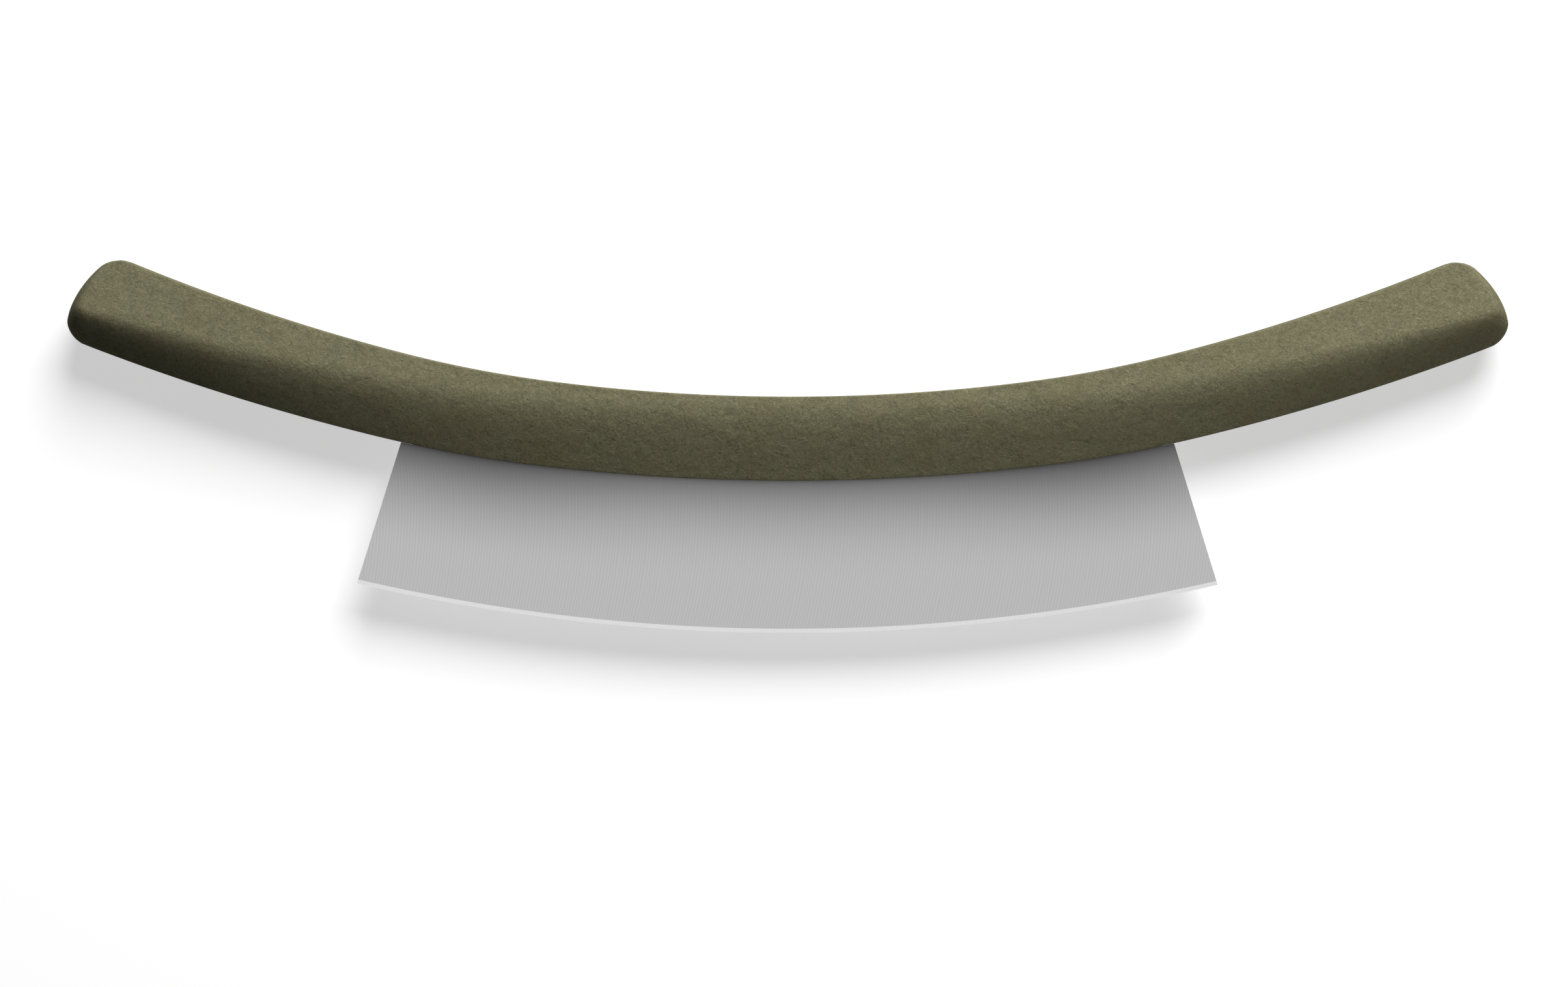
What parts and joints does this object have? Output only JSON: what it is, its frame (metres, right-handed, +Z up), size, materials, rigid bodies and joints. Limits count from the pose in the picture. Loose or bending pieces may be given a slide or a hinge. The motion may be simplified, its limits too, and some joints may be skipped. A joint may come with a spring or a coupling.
{
  "type": "mezzaluna",
  "caption": "Rocking herb knife: a bowed two-hand composite handle in mirrored halves, pinned over the tang of a fixed steel blade with a curved cutting edge.",
  "frame": {"origin": "centre of the lying knife's box, on the plane that the backs of the grips rest on", "axes": "+X along the handle, +Y from the cutting edge towards the spine of the handle, +Z up from the back of the lying knife to its front"},
  "size_m": [0.37, 0.0952, 0.024],
  "materials": {
    "composite": "matt moulded wood-fibre composite",
    "blade_steel": "brushed across the blade, ground bevel",
    "pin_steel": "plain turned steel, hidden"
  },
  "bodies": {
    "root": {"blade": "blade_steel", "front_handle_half": "composite", "rear_handle_half": "composite", "tang_pin_1": "pin_steel", "tang_pin_2": "pin_steel", "tang_pin_3": "pin_steel", "tang_pin_4": "pin_steel", "tang_pin_5": "pin_steel", "grip_dowel_left": "pin_steel", "grip_dowel_right": "pin_steel"}
  },
  "joints": []
}
